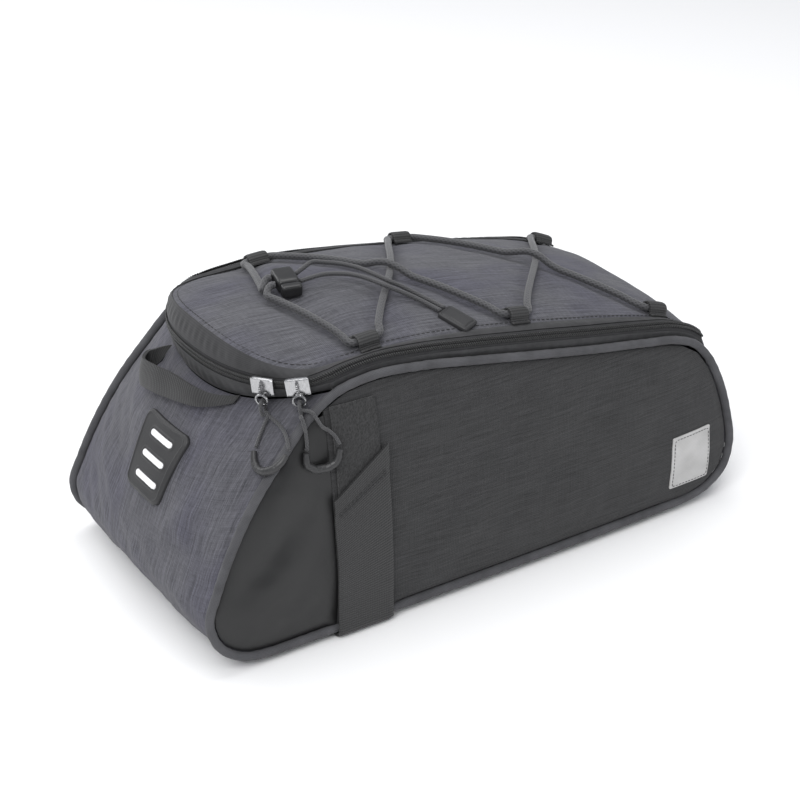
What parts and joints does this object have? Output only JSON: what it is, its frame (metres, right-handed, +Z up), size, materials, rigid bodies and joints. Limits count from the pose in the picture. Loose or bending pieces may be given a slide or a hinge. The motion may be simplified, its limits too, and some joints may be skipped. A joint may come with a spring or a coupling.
{
  "type": "bicycle rack bag",
  "caption": "Padded bag for a bicycle's rear rack: wedge-shaped heather body, zipped domed lid, elastic lacing, side straps and a rear light patch.",
  "frame": {"origin": "middle of the bounding box's footprint, on the surface that the flat base stands on", "axes": "+X towards the saddle, along the rack; +Y to the bicycle's left; +Z up"},
  "size_m": [0.3652, 0.1858, 0.1722],
  "materials": {
    "heather_cloth": "matte heather weave",
    "dark_heather_cloth": "matte dark heather weave",
    "coated_cloth": "smooth coated, soft sheen",
    "black_cloth": "matte",
    "nylon": "satin",
    "webbing": "ribbed weave",
    "rubber": "matte",
    "reflector": "bright, retroreflective",
    "label": "matte, bare",
    "zip_metal": "bright",
    "cord": "braided"
  },
  "bodies": {
    "root": {"base_panel": "black_cloth", "bungee_left": "cord", "bungee_right": "cord", "cord_end": "rubber", "cord_lock_body": "nylon", "cord_lock_plunger": "nylon", "cord_tab_front_left": "webbing", "cord_tab_front_right": "webbing", "cord_tab_middle_left": "webbing", "cord_tab_middle_right": "webbing", "cord_tab_rear_left": "webbing", "cord_tab_rear_right": "webbing", "corner_panel_left": "coated_cloth", "corner_panel_right": "coated_cloth", "drawcord_tail_a": "cord", "drawcord_tail_b": "cord", "front_panel": "heather_cloth", "lid_panel": "heather_cloth", "light_patch": "rubber", "loop_strip_left": "webbing", "loop_strip_right": "webbing", "piping_left": "heather_cloth", "piping_right": "heather_cloth", "pull_cord_rear": "cord", "pull_cord_side": "cord", "pull_grip_rear": "rubber", "pull_grip_side": "rubber", "rear_handle": "webbing", "rear_panel": "heather_cloth", "reflective_bar_lower": "reflector", "reflective_bar_middle": "reflector", "reflective_bar_upper": "reflector", "side_label": "label", "side_panel_left": "dark_heather_cloth", "side_panel_right": "dark_heather_cloth", "webbing_strap_left": "webbing", "webbing_strap_right": "webbing", "zip_band_lower": "black_cloth", "zip_band_upper": "black_cloth", "zip_chain": "nylon", "zip_slider_rear": "zip_metal", "zip_slider_side": "zip_metal"}
  },
  "joints": []
}
